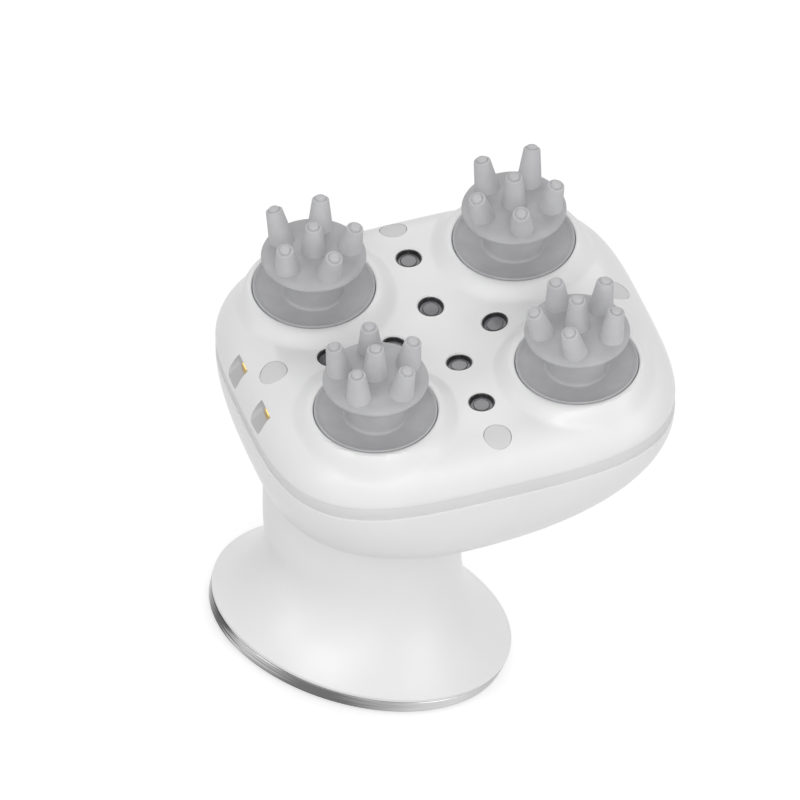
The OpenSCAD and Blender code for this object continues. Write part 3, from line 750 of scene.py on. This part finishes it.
# Massage heads. Each one lists the bearing of its first finger's foot, the height of the
# middle finger, and where the outer fingers' tips stand: radius, bearing, height
pad = {
    "rim": 14.0, "low": -3.8, "fingerFoot": 8.3, "footHigh": 10.4, "centreFoot": 10.8,
    "fingerBase": 2.92, "fingerEnd": 1.93, "fingerTip": 1.22,
    "heads": {
        1: (132.7, 18.3, ((10.9, 127, 17.9), (10.2, 62, 17.7), (9.5, -16, 17.4),
                          (10.9, -83, 17.6), (9.7, -151, 17.6))),
        2: (118.2, 19.0, ((10.2, 117, 17.7), (11.7, 50, 18.0), (9.7, -27, 17.7),
                          (11.0, -101, 17.6), (10.4, -164, 17.7))),
        3: (102.4, 19.1, ((8.5, 106, 17.8), (9.8, 30, 17.9), (9.2, -36, 18.0),
                          (10.0, -120, 17.9), (10.3, 178, 17.8))),
        4: (151.5, 18.7, ((9.5, 152, 17.9), (8.1, 81, 17.9), (9.1, 2, 17.8),
                          (9.8, -62, 17.9), (8.9, -137, 18.0))),
    },
}


def fingerLine(tall):
    # half section of one finger: slow taper, rounded shoulder, ring groove, button tip
    base, end, tip = pad["fingerBase"], pad["fingerEnd"], pad["fingerTip"]
    slope = (base - end) / tall
    return filleted([
        (0, -1.6, 0), (base + 1.6 * slope, -1.6, 0), (base, 0, 0),
        (mix(base, end, 0.5), tall * 0.5, 0), (end, tall - 0.05, 0.45),
        (tip + 0.3, tall + 0.02, 0.12), (tip + 0.1, tall - 0.16, 0.08), (tip, tall - 0.14, 0.04),
        (tip, tall + 0.5, 0.3), (tip * 0.6, tall + 0.74, 0.4), (0, tall + 0.78, 0)])


def padLine():
    # half section of the soft disc, the waist over it and the cap that bears the fingers
    rim, low = pad["rim"], pad["low"]
    return filleted([
        (0, low, 0), (rim - 0.35, low, 0.2), (rim, -3.4, 0.3), (rim, -0.1, 0.08),
        (rim - 0.16, 0.02, 0.1), (rim - 0.45, -0.02, 0.2), (rim - 1.2, -0.4, 0.6),
        (rim - 3.5, -0.9, 1.5), (7.9, -1.35, 0.6), (7.2, -1.4, 0.25), (6.9, -0.8, 0.7),
        (7.05, 1.2, 2), (7.25, 4, 2), (7.5, 6.6, 1.2), (8.6, 7.3, 1.2), (11.4, 8.3, 0.6),
        (12.1, 8.95, 0.5), (11.85, 9.65, 0.5), (10.8, 10.2, 0.9), (8, 10.5, 2),
        (4, 10.75, 2), (0, 10.85, 0)])


def polar(r, degrees, z):
    turn = math.radians(degrees)
    return Vector((r * math.cos(turn), r * math.sin(turn), z))


def padPiece(n):
    first, centreTop, tips = pad["heads"][n]
    bm = bmesh.new()
    spunShell(bm, padLine(), 128)
    bodyFaces = set(bm.faces)
    straight = Matrix.Translation((0, 0, pad["centreFoot"]))
    spunShell(bm, fingerLine(centreTop - pad["centreFoot"] - 0.3), 40, straight)
    for k, tip in enumerate(tips):
        root = polar(pad["fingerFoot"], first - 72 * k, pad["footHigh"])
        way = polar(*tip) - root
        place = Matrix.Translation(root) @ way.to_track_quat("Z", "Y").to_matrix().to_4x4()
        spunShell(bm, fingerLine(way.length - 0.2), 40, place)
    # painted light and shade: the fingers take the paler copy, while the disc and cap keep the
    # darker grey
    for face in bm.faces:
        face.material_index = 0 if face in bodyFaces else 1
    place = headFrame @ Matrix.Translation((*discSpots[n - 1], 0))
    piece = makePiece("massagePad%d" % n, bm, place, "head_%d" % n, greySilicone,
                      ["massage_pad_%d" % n], 38)
    piece.data.materials.append(paintedLightSilicone)


for n in pad["heads"]:
    padPiece(n)
print("massage heads set")

# Sole under the foot, with a hole for the button
sole = {"inset": 4.1, "thick": 1.2, "holeX": 18.0, "holeRadius": 5.8}
holePlace = Matrix.Translation((sole["holeX"], 0, 0))


def solePiece():
    thick, r = sole["thick"], sole["holeRadius"]
    rows = [(0.5, thick), (0.0, thick), (0.0, 0.3), (0.06, 0.12), (0.18, 0.02), (0.4, 0.0)]
    rings = insetRings(foot["a"] - sole["inset"], foot["b"] - sole["inset"], 2, rows)
    piece = meshObject("solePad", pulledRings(rings, 160, capped=True))
    hole = bmesh.new()
    spunShell(hole, filleted([(0, 3, 0), (r, 3, 0), (r, 0.35, 0.2), (r + 0.4, -0.2, 0),
                              (r + 0.5, -3, 0), (0, -3, 0)]), 64, holePlace)
    carve(piece, hole)
    piece.data.transform(footFrame)
    finishPiece(piece, "housing", greySilicone, ["sole_pad"])


solePiece()

# Power button: a dished face, a collar that holds it in, and a stem for the switch
button = {"radius": 5.2, "collar": 6.1, "collarLow": 3.4, "collarHigh": 3.9,
          "stem": 1.5, "stemHigh": 4.3}


def buttonPiece():
    r, collar, stem = button["radius"], button["collar"], button["stem"]
    low, high, top = button["collarLow"], button["collarHigh"], button["stemHigh"]
    bm = bmesh.new()
    line = filleted([(0, 0.95, 0), (3.2, 0.8, 2), (4.6, 0.7, 0.5), (r, 1.05, 0.4), (r, low, 0.1),
                     (collar, low, 0.1), (collar, high, 0.1), (stem, high, 0.2),
                     (stem, top, 0.1), (0, top, 0)])
    spunShell(bm, line, 64, holePlace)
    makePiece("powerButton", bm, footFrame, "button", bandAbs, ["power_button"])


buttonPiece()

# Gold plates at the back of the charging notches
contacts = {"size": (0.3, 3.1, 2.2), "x": -45.8, "shiftY": -1.2, "z": -6.7, "corner": 0.4}


def contactPiece():
    bm = bmesh.new()
    for side in (-1, 1):
        made = bmesh.ops.create_cube(bm, size=1)["verts"]
        spot = (contacts["x"], side * cover["notchY"] + contacts["shiftY"], contacts["z"])
        bmesh.ops.scale(bm, vec=contacts["size"], verts=made)
        bmesh.ops.translate(bm, vec=spot, verts=made)
    corners = [e for e in bm.edges if abs(e.verts[0].co.x - e.verts[1].co.x) > 0.2]
    bmesh.ops.bevel(bm, geom=corners, offset=contacts["corner"], segments=5, profile=0.5,
                    affect="EDGES", material=-1)
    makePiece("chargeContacts", bm, headFrame, "housing", slotLooks["gold_plate"],
              ["charge_contacts"])


contactPiece()
print("underside and contacts set")

# Paper floor, even sky and soft lamps: name, place, width and height in metres, watts
studio = {
    "floorSize": 6.0, "floorHigh": -0.0002, "floorTone": "#c4c4c4", "floorLift": 0.62,
    "skyLight": 0.47, "lampAim": (0, 0, 0.06),
    "lamps": (("leftLamp", (-1.2, -0.5, 0.45), (0.5, 0.9), 2.9),
              ("frontLamp", (-0.05, -1.25, 0.5), (0.5, 0.9), 1.5),
              ("rightLamp", (0.9, -0.8, 0.5), (0.5, 0.9), 2.4),
              ("keyLamp", (-0.6, -1.0, 0.85), (0.7, 0.7), 4.8),
              ("backLamp", (0.1, 1.0, 0.9), (0.9, 0.9), 3.2)),
}


def backgroundRay(tree):
    # one for a ray from the camera, or one that gloss or clear plastic sends on
    path = addNode(tree, "ShaderNodeLightPath").outputs
    seen = addNode(tree, "ShaderNodeMath", {
        0: path["Is Camera Ray"], 1: path["Is Glossy Ray"]}, operation="MAXIMUM")
    seen = addNode(tree, "ShaderNodeMath", {
        0: seen.outputs[0], 1: path["Is Transmission Ray"]}, operation="MAXIMUM")
    return seen.outputs[0]


def studioFloor():
    bm = bmesh.new()
    bmesh.ops.create_grid(bm, x_segments=2, y_segments=2, size=studio["floorSize"] / 2)
    bmesh.ops.translate(bm, vec=(0, 0, studio["floorHigh"]), verts=bm.verts)
    floor = meshObject("floor", bm)
    # paper that takes the shadow, lifted to white where it is seen
    material = bpy.data.materials.new("paperFloor")
    material.use_nodes = True
    tree = material.node_tree
    tree.nodes.clear()
    paper = addNode(tree, "ShaderNodeBsdfDiffuse", {"Color": linear(studio["floorTone"])})
    lift = addNode(tree, "ShaderNodeMath", {
        0: backgroundRay(tree), 1: studio["floorLift"]}, operation="MULTIPLY")
    glow = addNode(tree, "ShaderNodeEmission",
                   {"Color": (1, 1, 1, 1), "Strength": lift.outputs[0]})
    both = addNode(tree, "ShaderNodeAddShader", {0: paper.outputs[0], 1: glow.outputs[0]})
    addNode(tree, "ShaderNodeOutputMaterial", {"Surface": both.outputs[0]})
    floor.data.materials.append(material)


def studioSky():
    world = bpy.data.worlds.new("studioSky")
    bpy.context.scene.world = world
    world.use_nodes = True
    tree = world.node_tree
    tree.nodes.clear()
    strength = addNode(tree, "ShaderNodeMapRange", {
        "Value": backgroundRay(tree), "To Min": studio["skyLight"], "To Max": 1.0})
    sky = addNode(tree, "ShaderNodeBackground",
                  {"Color": (1, 1, 1, 1), "Strength": strength.outputs["Result"]})
    addNode(tree, "ShaderNodeOutputWorld", {"Surface": sky.outputs[0]})


def softLamp(name, place, size, power):
    lamp = bpy.data.lights.new(name, "AREA")
    lamp.shape, lamp.size, lamp.size_y, lamp.energy = "RECTANGLE", size[0], size[1], power
    holder = bpy.data.objects.new(name, lamp)
    holder.location = place
    look = Vector(studio["lampAim"]) - Vector(place)
    holder.rotation_euler = look.to_track_quat("-Z", "Y").to_euler()
    bpy.context.scene.collection.objects.link(holder)


studioFloor()
studioSky()
for lamp in studio["lamps"]:
    softLamp(*lamp)

# Camera of the picture: a long lens, turned a little about its own axis
picture = {"right": (0.8951, -0.3272, 0.3030), "up": (-0.0182, 0.6520, 0.7580),
           "aim": (-0.01694, -0.00817, 0.07471), "away": 4.0, "lens": 792.0}


def pictureCamera():
    right, up = Vector(picture["right"]).normalized(), Vector(picture["up"]).normalized()
    back = right.cross(up)
    lens = bpy.data.cameras.new("camera")
    lens.sensor_width, lens.lens = 36.0, picture["lens"]
    lens.clip_start, lens.clip_end = 0.1, 20.0
    camera = bpy.data.objects.new("camera", lens)
    camera.rotation_euler = Matrix((right, up, back)).transposed().to_euler()
    camera.location = Vector(picture["aim"]) + back * picture["away"]
    bpy.context.scene.collection.objects.link(camera)
    bpy.context.scene.camera = camera


pictureCamera()
bpy.context.scene.view_settings.view_transform = "Standard"

print("scene ready")
